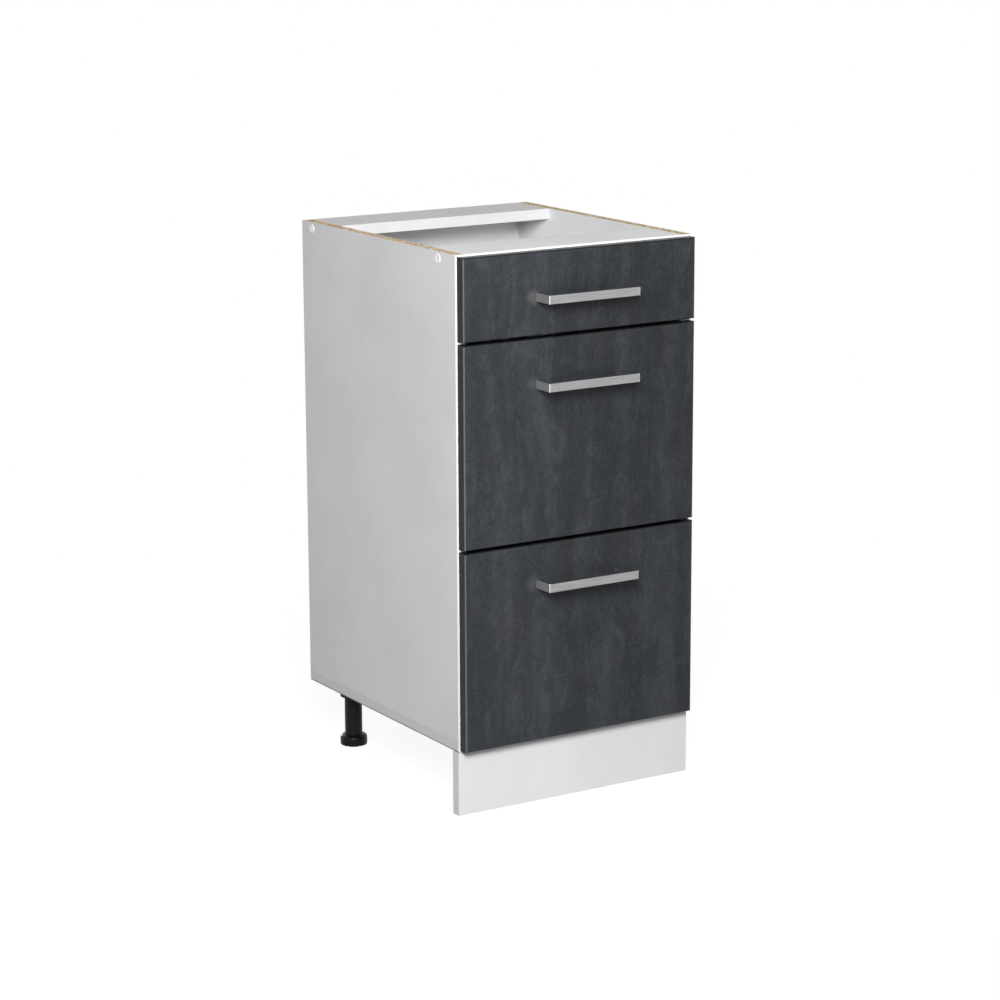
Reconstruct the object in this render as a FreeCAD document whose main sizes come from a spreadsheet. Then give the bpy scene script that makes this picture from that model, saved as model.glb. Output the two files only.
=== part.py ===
import FreeCAD, Part
import os

import Sketcher

# Kitchen base unit with three drawers. +X right, +Y to the back, +Z up, millimetres.
# The origin is on the floor, under the middle of the whole unit's box.

os.makedirs("parts", exist_ok=True)
doc = FreeCAD.newDocument("base_unit")

DRAWERS = ("top", "middle", "bottom")
SIDES = ("1", "-1")
X_AXIS = FreeCAD.Vector(1, 0, 0)
Y_AXIS = FreeCAD.Vector(0, 1, 0)
TURNS = {
    "+X": FreeCAD.Rotation(Y_AXIS, 90),
    "-X": FreeCAD.Rotation(Y_AXIS, -90),
    "+Y": FreeCAD.Rotation(X_AXIS, -90),
    "-Y": FreeCAD.Rotation(X_AXIS, 90),
    "+Z": FreeCAD.Rotation(),
}

# ---- driving dimensions -------------------------------------------------------------

SIZES = {
    # carcass
    "cabinet_width": "400",
    "carcass_height": "720",
    "carcass_depth": "450",
    "board": "16",
    "back_thickness": "3",
    "back_reveal": "1",
    "rail_depth": "90",
    # plinth and legs
    "leg_height": "96",
    "plinth_thickness": "16",
    "plinth_clearance": "1",
    "leg_radius": "13.5",
    "rear_leg_inset_side": "42",
    "rear_leg_inset_depth": "62",
    "front_leg_inset_side": "50",
    "front_leg_inset_depth": "50",
    "socket_radius": "20",
    "socket_height": "18",
    "flange_radius": "32",
    "flange_thickness": "3",
    "socket_clearance": "0.1",
    "foot_radius": "21",
    "foot_height": "16",
    "foot_bevel": "4",
    "heel_bevel": "1.5",
    "grip_radius": "2.5",
    "grip_depth": "5",
    "stem_radius": "8",
    "stem_length": "50",
    "stem_clearance": "0.1",
    # plinth clips
    "clip_width": "44",
    "clip_plate": "3",
    "clip_height": "60",
    "clip_rise": "16",
    "jaw_height": "14",
    "jaw_rise": "22",
    "jaw_wall": "3",
    "jaw_clearance": "0.3",
    "clip_screw_edge": "8",
    # drawer fronts
    "front_thickness": "16",
    "front_side_reveal": "3",
    "front_gap": "4",
    "front_top_reveal": "3",
    "front_base_reveal": "2",
    "top_front_height": "119",
    "front_rounding": "2.5",
    # handles
    "handle_reach": "35",
    "bar_depth": "12",
    "bar_height": "12.4",
    "handle_leg": "19",
    "handle_pitch": "128",
    "handle_screw_inset": "13",
    "handle_corner": "1.5",
    "handle_inner_corner": "3",
    "top_handle_drop": "64",
    "middle_handle_drop": "66",
    "bottom_handle_drop": "59",
    # drawer boxes
    "side_gap": "13",
    "box_rear_room": "47",
    "shallow_side": "54",
    "deep_side": "150",
    "steel": "1",
    "base_lip": "14",
    "running_flange": "9",
    "bead_width": "3",
    "bead_height": "6",
    "drawer_board": "16",
    "back_drop": "2",
    "lip_screw_margin": "40",
    "top_box_rise": "6",
    "middle_box_rise": "30",
    "bottom_box_rise": "30",
    # front brackets
    "bracket_thickness": "1.5",
    "bracket_plate": "18",
    "bracket_tongue": "46",
    "bracket_drop": "4",
    "bracket_edge": "10",
    "rivet_radius": "2.5",
    "rivet_head_radius": "4",
    "rivet_head": "1",
    "rivet_clearance": "0.1",
    "rivet_setback": "14",
    "rivet_pitch": "22",
    # runners and rollers
    "runner_setback": "3",
    "runner_end_room": "2",
    "runner_steel": "1.2",
    "runner_flange": "10",
    "track_rise": "3",
    "channel_gap": "1",
    "roller_radius": "10",
    "roller_width": "6",
    "roller_gap": "0.3",
    "roller_lift": "1",
    "roller_play": "0.4",
    "tread_bevel": "0.8",
    "hub_radius": "4.5",
    "rim_depth": "2.5",
    "dish_depth": "1.2",
    "front_roller_setback": "28",
    "rear_roller_inset": "30",
    "pin_radius": "2",
    "pin_clearance": "0.05",
    "pin_shoulder": "1.6",
    "pin_head_radius": "3.5",
    "pin_head": "0.8",
    "hole_row_pitch": "32",
    "hole_row_setback": "37",
    # fixings
    "hole_clearance": "0.1",
    "hole_reserve": "1",
    "connector_front": "46",
    "connector_rear": "33",
    "connector_drop": "10",
    "connector_head_radius": "5",
    "connector_head": "4",
    "connector_neck_radius": "3.5",
    "connector_thread_radius": "2.5",
    "connector_length": "50",
    "socket_drive_radius": "2",
    "socket_drive_depth": "3",
    "cap_radius": "7.5",
    "cap_edge": "0.6",
    "cap_crown": "0.6",
    "cap_bevel": "1.8",
    "cap_peg_radius": "1.9",
    "cap_peg_length": "2.5",
    "dowel_radius": "4",
    "dowel_length": "30",
    "dowel_in_face": "10",
    "dowel_bevel": "1",
    "dowel_edge": "14",
    "nail_radius": "0.8",
    "nail_head_radius": "2",
    "nail_head": "0.8",
    "nail_length": "20",
    "nail_end_margin": "60",
    "nail_pitch_across": "92",
    "screw_radius": "1.75",
    "screw_length": "13",
    "screw_head_radius": "3.5",
    "screw_head": "1.6",
    "screw_crown": "0.5",
    "socket_screw_circle": "26",
    "bolt_radius": "2",
    "bolt_length": "25",
    "bolt_head_radius": "4",
    "bolt_head": "2.2",
    "bolt_crown": "0.8",
}

# ---- places worked out from them ----------------------------------------------------

PLACES = {
    "half_width": "size.cabinet_width / 2",
    "inner_half": "place.half_width - size.board",
    "front_plane": "(size.handle_reach + size.front_thickness - size.carcass_depth) / 2",
    "rear_plane": "place.front_plane + size.carcass_depth",
    "face_front": "place.front_plane - size.front_thickness",
    "panel_depth": "size.carcass_depth - size.back_thickness",
    "back_face": "place.front_plane + place.panel_depth",
    "base_top": "size.leg_height + size.board",
    "cabinet_top": "size.leg_height + size.carcass_height",
    "rail_under": "place.cabinet_top - size.board",
    "side_height": "size.carcass_height - size.board",
    "edge_middle": "place.half_width - size.board / 2",
    "connector_y_front": "place.front_plane + size.connector_front",
    "connector_y_rear": "place.rear_plane - size.connector_rear",
    "connector_z": "place.cabinet_top - size.connector_drop",
    "dowel_y_front": "place.front_plane + size.rail_depth - size.dowel_edge",
    "dowel_y_rear": "place.back_face - size.rail_depth + size.dowel_edge",
    "dowel_y_middle": "(place.dowel_y_front + place.dowel_y_rear) / 2",
    "rail_middle_z": "place.cabinet_top - size.board / 2",
    "base_middle_z": "size.leg_height + size.board / 2",
    "front_width": "size.cabinet_width - 2 * size.front_side_reveal",
    "handle_half": "size.handle_pitch / 2 + size.handle_screw_inset",
    "deep_front_height": "(size.carcass_height - size.front_base_reveal - size.front_top_reveal"
    " - size.top_front_height - 2 * size.front_gap) / 2",
    "leg_x_front": "place.half_width - size.front_leg_inset_side",
    "leg_x_rear": "place.half_width - size.rear_leg_inset_side",
    "leg_y_front": "place.front_plane + size.front_leg_inset_depth",
    "leg_y_rear": "place.rear_plane - size.rear_leg_inset_depth",
    "flange_under": "size.leg_height - size.flange_thickness",
    "plinth_back": "place.front_plane + size.plinth_thickness",
    "jaw_radius": "size.leg_radius + size.jaw_clearance",
    "box_half": "place.inner_half - size.side_gap",
    "box_length": "place.panel_depth - size.box_rear_room",
    "runner_length": "place.box_length - size.runner_setback - size.runner_end_room",
    "wall_inner": "place.box_half - size.steel",
    "base_rise": "size.steel + size.drawer_board",
    "flange_under_rise": "size.track_rise + size.roller_lift + 2 * size.roller_radius + size.roller_gap",
    "channel_rise": "place.flange_under_rise + 2 * size.steel + size.channel_gap",
    "channel_base_rise": "size.track_rise - size.runner_steel",
    "channel_height": "place.channel_rise + size.runner_steel - place.channel_base_rise",
    "front_roller_y": "place.front_plane + size.front_roller_setback",
    "rear_roller_y": "place.front_plane + place.box_length - size.rear_roller_inset",
    "front_roller_rise": "size.track_rise + size.roller_lift + size.roller_radius",
    "rear_roller_rise": "size.track_rise + size.roller_gap + size.roller_radius",
    "web_face": "place.inner_half - size.runner_steel",
    "runner_wheel_x": "place.web_face - size.roller_play - size.roller_width / 2",
    "drawer_wheel_x": "place.box_half + size.pin_shoulder + size.roller_play + size.roller_width / 2",
    "bottom_front_height": "place.deep_front_height",
    "middle_front_height": "place.deep_front_height",
    "top_front_height": "size.top_front_height",
    "bottom_front_z": "size.leg_height + size.front_base_reveal",
    "middle_front_z": "place.bottom_front_z + place.bottom_front_height + size.front_gap",
    "top_front_z": "place.middle_front_z + place.middle_front_height + size.front_gap",
    "top_side": "size.shallow_side",
    "middle_side": "size.deep_side",
    "bottom_side": "size.deep_side",
}
for drawer in DRAWERS:
    PLACES[f"{drawer}_box_z"] = f"place.{drawer}_front_z + size.{drawer}_box_rise"
    PLACES[f"{drawer}_bracket"] = f"place.{drawer}_side - place.base_rise - size.bracket_drop"
    PLACES[f"{drawer}_handle_z"] = (
        f"place.{drawer}_front_z + place.{drawer}_front_height - size.{drawer}_handle_drop"
    )


def make_sheet(name, rows):
    """A table of two columns: the names, and the values that go by them."""
    sheet = doc.addObject("Spreadsheet::Sheet", name)
    for row, alias in enumerate(rows, start=1):
        sheet.set(f"A{row}", alias)
        sheet.set(f"B{row}", rows[alias])
        sheet.setAlias(f"B{row}", alias)
    return sheet


size = make_sheet("size", SIZES)
cells = {alias: f"B{row}" for row, alias in enumerate(PLACES, start=1)}
place = make_sheet("place", {alias: "0" for alias in PLACES})
for alias, formula in PLACES.items():
    place.set(cells[alias], "=" + formula.replace("place.", ""))
doc.recompute()


def value(formula):
    """What a formula gives at these sizes."""
    return float(place.evalExpression(formula))


# ---- ways of making a piece -----------------------------------------------------------


def put(piece, at, towards="+Z"):
    """Turns a piece's own +Z the way given and puts its origin at the place given."""
    piece.Placement = FreeCAD.Placement(FreeCAD.Vector(), TURNS[towards])
    for axis, formula in zip("xyz", at):
        piece.setExpression(f"Placement.Base.{axis}", formula)
    return piece


def box(name, at, extent):
    """A rectangular board from its low corner."""
    piece = doc.addObject("Part::Box", name)
    for side, formula in zip(("Length", "Width", "Height"), extent):
        piece.setExpression(side, formula)
    return put(piece, at)


def rod(name, radius, length, at=("0", "0", "0"), towards="+Z"):
    """A round bar from the middle of its low end."""
    piece = doc.addObject("Part::Cylinder", name)
    piece.setExpression("Radius", radius)
    piece.setExpression("Height", length)
    return put(piece, at, towards)


def draw(body, plane_role, corners):
    """A closed outline of straight lines, each corner held by its two formulas."""
    sketch = body.newObject("Sketcher::SketchObject", body.Name + "_outline")
    plane = next(item for item in body.Origin.OriginFeatures if item.Role == plane_role)
    sketch.AttachmentSupport = [(plane, "")]
    sketch.MapMode = "FlatFace"
    points = [FreeCAD.Vector(value(x), value(y), 0) for x, y in corners]
    count = len(points)
    for index, start in enumerate(points):
        sketch.addGeometry(Part.LineSegment(start, points[(index + 1) % count]), False)
    for index in range(count):
        joined = Sketcher.Constraint("Coincident", index, 2, (index + 1) % count, 1)
        sketch.addConstraint(joined)
    for index, (x, y) in enumerate(corners):
        for kind, formula, axis_line in (("DistanceX", x, -2), ("DistanceY", y, -1)):
            if formula == "0":
                sketch.addConstraint(Sketcher.Constraint("PointOnObject", index, 1, axis_line))
                continue
            tie = Sketcher.Constraint(kind, -1, 1, index, 1, value(formula))
            number = sketch.addConstraint(tie)
            sketch.setExpression(f"Constraints[{number}]", formula)
    return sketch


def extruded(name, plane_role, corners, length, at=("0", "0", "0")):
    """A bar of one section. On XZ_Plane it runs towards +Y, on XY_Plane towards +Z."""
    body = doc.addObject("PartDesign::Body", name)
    pad = body.newObject("PartDesign::Pad", name + "_pad")
    pad.Profile = draw(body, plane_role, corners)
    pad.setExpression("Length", length)
    pad.Reversed = plane_role == "XZ_Plane"
    return put(body, at)


def turned(name, corners):
    """A piece turned about its own Z, from the radii and heights of its outline."""
    body = doc.addObject("PartDesign::Body", name)
    sketch = draw(body, "XZ_Plane", corners)
    revolution = body.newObject("PartDesign::Revolution", name + "_turn")
    revolution.Profile = sketch
    revolution.ReferenceAxis = (sketch, ["V_Axis"])
    revolution.Angle = 360
    return body


def round_edges(body, wanted, radius):
    """Rounds the edges of a body's last feature whose two ends pass the test wanted."""
    doc.recompute()
    base = body.Tip
    names = [
        f"Edge{number}"
        for number, edge in enumerate(base.Shape.Edges, start=1)
        if all(wanted(vertex.Point) for vertex in edge.Vertexes)
    ]
    fillet = body.newObject("PartDesign::Fillet", base.Name + "_round")
    fillet.Base = (base, names)
    fillet.setExpression("Radius", radius)
    return body


def copies(name, master, spots):
    """One group of separate solids: the same piece at each spot, turned as it says."""
    links = []
    for number, (at, towards) in enumerate(spots, start=1):
        link = doc.addObject("App::Link", f"{name}_{number}")
        link.LinkedObject = master
        links.append(put(link, at, towards))
    return joined_group(name, links)


def joined_group(name, members):
    """Separate solids under one name."""
    group = doc.addObject("Part::Compound", name)
    group.Links = members
    return group


def drilled(name, blank, *tools):
    """A blank less the tools."""
    cut = doc.addObject("Part::Cut", name)
    cut.Base = blank
    cut.Tool = tools[0] if len(tools) == 1 else joined_group(name + "_tools", list(tools))
    return cut


def fused(name, *members):
    """Several solids as one."""
    union = doc.addObject("Part::MultiFuse", name)
    union.Shapes = list(members)
    return union


def mirrored(name, source):
    """The left-hand copy of a right-hand piece."""
    twin = doc.addObject("Part::Mirroring", name)
    twin.Source = source
    twin.Normal = X_AXIS
    return twin


SAME_PLACE = 0.01
pieces = []


def keep(name, piece):
    """Takes a finished piece into the unit under the name given."""
    piece.Label = name
    pieces.append(piece)
    return piece


def both_sides(name, piece):
    """Keeps a right-hand piece and its left-hand twin."""
    keep(name + "_right", piece)
    keep(name + "_left", mirrored(name + "_twin", piece))


def along(sign, formula):
    """A place to the right of the middle for sign 1, to the left for -1."""
    return f"{sign} * ({formula})"


def inward(sign):
    return "-X" if sign == "1" else "+X"


# ---- fixings: one master for each, and the hole that it goes in ---------------------

connector = turned(
    "connector_master",
    [
        ("0", "size.socket_drive_depth"),
        ("size.socket_drive_radius", "size.socket_drive_depth"),
        ("size.socket_drive_radius", "0"),
        ("size.connector_head_radius", "0"),
        ("size.connector_head_radius", "size.connector_head"),
        ("size.connector_neck_radius", "size.connector_head"),
        ("size.connector_neck_radius", "size.board"),
        ("size.connector_thread_radius", "size.board"),
        ("size.connector_thread_radius", "size.connector_length - size.connector_thread_radius"),
        ("0", "size.connector_length"),
    ],
)
connector_hole = turned(
    "connector_hole_master",
    [
        ("0", "0"),
        ("size.connector_head_radius + size.hole_clearance", "0"),
        ("size.connector_head_radius + size.hole_clearance", "size.connector_head"),
        ("size.connector_neck_radius + size.hole_clearance", "size.connector_head"),
        ("size.connector_neck_radius + size.hole_clearance", "size.board"),
        ("size.connector_thread_radius + size.hole_clearance", "size.board"),
        (
            "size.connector_thread_radius + size.hole_clearance",
            "size.connector_length + size.hole_reserve",
        ),
        ("0", "size.connector_length + size.hole_reserve"),
    ],
)
cap = turned(
    "cap_master",
    [
        ("0", "size.cap_peg_length"),
        ("size.cap_peg_radius", "size.cap_peg_length"),
        ("size.cap_peg_radius", "0"),
        ("size.cap_radius", "0"),
        ("size.cap_radius", "-size.cap_edge"),
        ("size.cap_radius - size.cap_bevel", "-size.cap_edge - size.cap_crown"),
        ("0", "-size.cap_edge - size.cap_crown"),
    ],
)
dowel = turned(
    "dowel_master",
    [
        ("0", "0"),
        ("size.dowel_radius - size.dowel_bevel", "0"),
        ("size.dowel_radius", "size.dowel_bevel"),
        ("size.dowel_radius", "size.dowel_length - size.dowel_bevel"),
        ("size.dowel_radius - size.dowel_bevel", "size.dowel_length"),
        ("0", "size.dowel_length"),
    ],
)
dowel_hole = rod("dowel_hole_master", "size.dowel_radius + size.hole_clearance", "size.dowel_length")
nail = turned(
    "nail_master",
    [
        ("0", "0"),
        ("size.nail_head_radius", "0"),
        ("size.nail_head_radius", "size.nail_head"),
        ("size.nail_radius", "size.nail_head"),
        ("size.nail_radius", "size.nail_length - 2 * size.nail_radius"),
        ("0", "size.nail_length"),
    ],
)
nail_hole = turned(
    "nail_hole_master",
    [
        ("0", "0"),
        ("size.nail_head_radius + size.hole_clearance", "0"),
        ("size.nail_head_radius + size.hole_clearance", "size.nail_head"),
        ("size.nail_radius + size.hole_clearance", "size.nail_head"),
        ("size.nail_radius + size.hole_clearance", "size.nail_length + size.hole_reserve"),
        ("0", "size.nail_length + size.hole_reserve"),
    ],
)


def headed(name, head_radius, head, crown, radius, length):
    """A pan-head screw: its seat at 0, its head below, its shank up to length."""
    return turned(
        name,
        [
            ("0", f"-({head})"),
            (f"{head_radius} - {crown}", f"-({head})"),
            (head_radius, f"{crown} - {head}"),
            (head_radius, "0"),
            (radius, "0"),
            (radius, f"{length} - {radius}"),
            ("0", length),
        ],
    )


screw = headed(
    "screw_master",
    "size.screw_head_radius",
    "size.screw_head",
    "size.screw_crown",
    "size.screw_radius",
    "size.screw_length",
)
screw_hole = rod(
    "screw_hole_master",
    "size.screw_radius + size.hole_clearance",
    "size.screw_length + size.hole_reserve",
)
bolt = headed(
    "bolt_master",
    "size.bolt_head_radius",
    "size.bolt_head",
    "size.bolt_crown",
    "size.bolt_radius",
    "size.bolt_length",
)
bolt_hole = rod(
    "bolt_hole_master",
    "size.bolt_radius + size.hole_clearance",
    "size.bolt_length + size.hole_reserve",
)

# ---- where the carcass's fixings go -------------------------------------------------

rail_spots = [
    ((along(sign, "place.half_width"), y, "place.connector_z"), inward(sign))
    for sign in SIDES
    for y in ("place.connector_y_front", "place.connector_y_rear")
]
base_spots = [
    ((along(sign, "place.edge_middle"), y, "size.leg_height"), "+Z")
    for sign in SIDES
    for y in ("place.connector_y_front", "place.connector_y_rear")
]
dowel_spots = [
    (
        (along(sign, "place.inner_half + size.dowel_in_face"), y, "place.rail_middle_z"),
        inward(sign),
    )
    for sign in SIDES
    for y in ("place.dowel_y_front", "place.dowel_y_rear")
]
dowel_spots += [
    ((along(sign, "place.edge_middle"), y, "place.base_top - size.dowel_in_face"), "+Z")
    for sign in SIDES
    for y in ("place.dowel_y_front", "place.dowel_y_middle", "place.dowel_y_rear")
]

NAILS_UP_A_SIDE = 5
NAIL_STEPS_ACROSS = (-1, 0, 1)
nail_low = "(size.leg_height + size.nail_end_margin)"
nail_high = "(place.cabinet_top - size.nail_end_margin)"
nail_spots = []
for sign in SIDES:
    for step in range(NAILS_UP_A_SIDE):
        share = f"{step} / {NAILS_UP_A_SIDE - 1}"
        z = f"{nail_low} + ({nail_high} - {nail_low}) * {share}"
        nail_spots.append(((along(sign, "place.edge_middle"), "place.rear_plane", z), "-Y"))
for step in NAIL_STEPS_ACROSS:
    for z in ("place.base_middle_z", "place.rail_middle_z"):
        nail_spots.append(((f"{step} * size.nail_pitch_across", "place.rear_plane", z), "-Y"))

RUNNER_SCREW_ROWS = ("1", "5", "9")
runner_spots = []
for drawer in DRAWERS:
    middle = f"place.{drawer}_box_z + place.channel_base_rise + place.channel_height / 2"
    for sign in SIDES:
        for row in RUNNER_SCREW_ROWS:
            y = f"place.front_plane + size.hole_row_setback + {row} * size.hole_row_pitch"
            towards = "+X" if sign == "1" else "-X"
            runner_spots.append(((along(sign, "place.web_face"), y, middle), towards))

LEGS = {
    f"{end}_{hand}": (along(sign, f"place.leg_x_{end}"), f"place.leg_y_{end}")
    for end in ("front", "rear")
    for sign, hand in (("1", "right"), ("-1", "left"))
}
socket_spots = []
for leg_x, leg_y in LEGS.values():
    for step_x, step_y in ((1, 1), (-1, 1), (1, -1), (-1, -1)):
        reach = "size.socket_screw_circle * sqrt(0.5)"
        spot = (f"{leg_x} + {step_x} * {reach}", f"{leg_y} + {step_y} * {reach}", "place.flange_under")
        socket_spots.append((spot, "+Z"))

connector_holes = copies("connector_holes", connector_hole, rail_spots + base_spots)
dowel_holes = copies("dowel_holes", dowel_hole, dowel_spots)
nail_holes = copies("nail_holes", nail_hole, nail_spots)
runner_holes = copies("runner_holes", screw_hole, runner_spots)
socket_holes = copies("socket_holes", screw_hole, socket_spots)

keep("connector_screws", copies("connectors", connector, rail_spots + base_spots))
keep("cover_caps", copies("caps", cap, rail_spots))
keep("wooden_dowels", copies("dowels", dowel, dowel_spots))
keep("back_panel_nails", copies("nails", nail, nail_spots))
keep("runner_screws", copies("runner_fixings", screw, runner_spots))
keep("leg_socket_screws", copies("socket_fixings", screw, socket_spots))

# ---- carcass --------------------------------------------------------------------------

both_sides(
    "side_panel",
    drilled(
        "side_panel",
        box(
            "side_panel_blank",
            ("place.inner_half", "place.front_plane", "place.base_top"),
            ("size.board", "place.panel_depth", "place.side_height"),
        ),
        connector_holes,
        dowel_holes,
        nail_holes,
        runner_holes,
    ),
)
keep(
    "bottom_panel",
    drilled(
        "base_panel",
        box(
            "base_panel_blank",
            ("-place.half_width", "place.front_plane", "size.leg_height"),
            ("size.cabinet_width", "place.panel_depth", "size.board"),
        ),
        connector_holes,
        dowel_holes,
        nail_holes,
        socket_holes,
    ),
)
for name, rail_y in (
    ("front_rail", "place.front_plane"),
    ("rear_rail", "place.back_face - size.rail_depth"),
):
    rail = box(
        name + "_blank",
        ("-place.inner_half", rail_y, "place.rail_under"),
        ("2 * place.inner_half", "size.rail_depth", "size.board"),
    )
    keep(name, drilled(name + "_board", rail, connector_holes, dowel_holes, nail_holes))
keep(
    "back_panel",
    drilled(
        "back_board",
        box(
            "back_board_blank",
            (
                "size.back_reveal - place.half_width",
                "place.back_face",
                "size.leg_height + size.back_reveal",
            ),
            (
                "size.cabinet_width - 2 * size.back_reveal",
                "size.back_thickness",
                "size.carcass_height - 2 * size.back_reveal",
            ),
        ),
        nail_holes,
    ),
)

# ---- legs and plinth ------------------------------------------------------------------

socket = turned(
    "socket_master",
    [
        ("0", "place.flange_under"),
        ("size.leg_radius + size.socket_clearance", "place.flange_under"),
        ("size.leg_radius + size.socket_clearance", "size.leg_height - size.socket_height"),
        ("size.socket_radius", "size.leg_height - size.socket_height"),
        ("size.socket_radius", "place.flange_under"),
        ("size.flange_radius", "place.flange_under"),
        ("size.flange_radius", "size.leg_height"),
        ("0", "size.leg_height"),
    ],
)
sockets = copies("socket_blanks", socket, [((x, y, "0"), "+Z") for x, y in LEGS.values()])
keep("leg_sockets", drilled("sockets", sockets, socket_holes))

tube = turned(
    "tube_master",
    [
        ("size.stem_radius + size.stem_clearance", "size.foot_height"),
        ("size.leg_radius", "size.foot_height"),
        ("size.leg_radius", "place.flange_under"),
        ("0", "place.flange_under"),
        ("0", "size.foot_height + size.stem_length + size.hole_reserve"),
        (
            "size.stem_radius + size.stem_clearance",
            "size.foot_height + size.stem_length + size.hole_reserve",
        ),
    ],
)

GRIPS = 6
foot = turned(
    "foot_master",
    [
        ("0", "0"),
        ("size.foot_radius - size.heel_bevel", "0"),
        ("size.foot_radius", "size.heel_bevel"),
        ("size.foot_radius", "size.foot_height - size.foot_bevel"),
        ("size.foot_radius - size.foot_bevel", "size.foot_height"),
        ("size.stem_radius", "size.foot_height"),
        ("size.stem_radius", "size.foot_height + size.stem_length"),
        ("0", "size.foot_height + size.stem_length"),
    ],
)
grip_sketch = foot.newObject("Sketcher::SketchObject", "grip_outline")
floor_plane = next(item for item in foot.Origin.OriginFeatures if item.Role == "XY_Plane")
grip_sketch.AttachmentSupport = [(floor_plane, "")]
grip_sketch.MapMode = "FlatFace"
grip_centre = FreeCAD.Vector(0, value("size.foot_radius"), 0)
grip_sketch.addGeometry(Part.Circle(grip_centre, FreeCAD.Vector(0, 0, 1), value("size.grip_radius")))
grip_sketch.addConstraint(Sketcher.Constraint("PointOnObject", 0, 3, -2))
grip_ties = (
    (Sketcher.Constraint("DistanceY", -1, 1, 0, 3, grip_centre.y), "size.foot_radius"),
    (Sketcher.Constraint("Radius", 0, value("size.grip_radius")), "size.grip_radius"),
)
for tie, formula in grip_ties:
    number = grip_sketch.addConstraint(tie)
    grip_sketch.setExpression(f"Constraints[{number}]", formula)
doc.recompute()
plain_foot_volume = foot.Shape.Volume
grip = foot.newObject("PartDesign::Pocket", "grip")
grip.Profile = grip_sketch
grip.setExpression("Length", "size.grip_depth")
grip.Reversed = True
grips = foot.newObject("PartDesign::PolarPattern", "grips")
grips.Originals = [grip]
grips.Axis = (grip_sketch, ["N_Axis"])
grips.Angle = 360
grips.Occurrences = GRIPS
foot.Tip = grips
doc.recompute()
assert foot.Shape.Volume < plain_foot_volume, "the grip notches cut nothing"

for name, (leg_x, leg_y) in LEGS.items():
    for part_name, master in (("leg", tube), ("foot", foot)):
        keep(f"{part_name}_{name}", copies(f"{part_name}_{name}_set", master, [((leg_x, leg_y, "0"), "+Z")]))

CLIP_LEGS = [LEGS["front_right"], LEGS["front_left"]]
clip_spots = []
for leg_x, leg_y in CLIP_LEGS:
    for side in ("1", "-1"):
        spot = (
            f"{leg_x} + {side} * (size.clip_width / 2 - size.clip_screw_edge)",
            "place.plinth_back + size.clip_plate",
            "size.clip_rise + size.clip_height - size.clip_screw_edge",
        )
        clip_spots.append((spot, "-Y"))
clip_holes = copies("clip_holes", screw_hole, clip_spots)
keep(
    "plinth_panel",
    drilled(
        "plinth_board",
        box(
            "plinth_blank",
            ("-place.half_width", "place.front_plane", "0"),
            (
                "size.cabinet_width",
                "size.plinth_thickness",
                "size.leg_height - size.plinth_clearance",
            ),
        ),
        clip_holes,
    ),
)
clips = []
for number, (leg_x, leg_y) in enumerate(CLIP_LEGS, start=1):
    plate = box(
        f"clip_plate_{number}",
        (f"{leg_x} - size.clip_width / 2", "place.plinth_back", "size.clip_rise"),
        ("size.clip_width", "size.clip_plate", "size.clip_height"),
    )
    jaw_half = "(place.jaw_radius + size.jaw_wall)"
    jaw = box(
        f"clip_jaw_{number}",
        (
            f"{leg_x} - {jaw_half}",
            "place.plinth_back + size.clip_plate",
            "size.clip_rise + size.jaw_rise",
        ),
        (f"2 * {jaw_half}", f"{leg_y} - place.plinth_back - size.clip_plate", "size.jaw_height"),
    )
    grip_hole = rod(f"clip_mouth_{number}", "place.jaw_radius", "size.leg_height", (leg_x, leg_y, "0"))
    window_depth = (
        f"{leg_y} - place.jaw_radius - size.jaw_wall - place.plinth_back - size.clip_plate"
    )
    window = box(
        f"clip_window_{number}",
        (
            f"{leg_x} - {jaw_half} + size.jaw_wall",
            "place.plinth_back + size.clip_plate",
            "size.clip_rise + size.jaw_rise",
        ),
        (f"2 * {jaw_half} - 2 * size.jaw_wall", window_depth, "size.jaw_height"),
    )
    blank = fused(f"clip_blank_{number}", plate, jaw)
    clips.append(drilled(f"clip_{number}", blank, grip_hole, window, clip_holes))
keep("plinth_clips", joined_group("clip_pair", clips))
keep("plinth_clip_screws", copies("clip_fixings", screw, clip_spots))

# ---- rollers --------------------------------------------------------------------------

tread = "size.roller_radius"
dish_side = "size.roller_width / 2 - size.dish_depth"
wheel = turned(
    "wheel_master",
    [
        ("size.pin_radius + size.pin_clearance", "-size.roller_width / 2"),
        ("size.hub_radius", "-size.roller_width / 2"),
        ("size.hub_radius", f"-({dish_side})"),
        (f"{tread} - size.rim_depth", f"-({dish_side})"),
        (f"{tread} - size.rim_depth", "-size.roller_width / 2"),
        (f"{tread} - size.tread_bevel", "-size.roller_width / 2"),
        (tread, "size.tread_bevel - size.roller_width / 2"),
        (tread, "size.roller_width / 2 - size.tread_bevel"),
        (f"{tread} - size.tread_bevel", "size.roller_width / 2"),
        (f"{tread} - size.rim_depth", "size.roller_width / 2"),
        (f"{tread} - size.rim_depth", dish_side),
        ("size.hub_radius", dish_side),
        ("size.hub_radius", "size.roller_width / 2"),
        ("size.pin_radius + size.pin_clearance", "size.roller_width / 2"),
    ],
)


def roller_pin(name, shoulder):
    """A rivet from the steel it stands on, with a shoulder, the wheel's seat and a head."""
    seat_end = f"{shoulder} + 2 * size.roller_play + size.roller_width"
    outline = [("0", "0")]
    if shoulder != "0":
        outline += [("size.pin_head_radius", "0"), ("size.pin_head_radius", shoulder)]
    outline += [
        ("size.pin_radius", shoulder),
        ("size.pin_radius", seat_end),
        ("size.pin_head_radius", seat_end),
        ("size.pin_head_radius", f"{seat_end} + size.pin_head"),
        ("0", f"{seat_end} + size.pin_head"),
    ]
    return turned(name, outline)


drawer_pin = roller_pin("drawer_pin_master", "size.pin_shoulder")
runner_pin = roller_pin("runner_pin_master", "0")

# ---- each drawer with its runners -------------------------------------------------------


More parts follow.
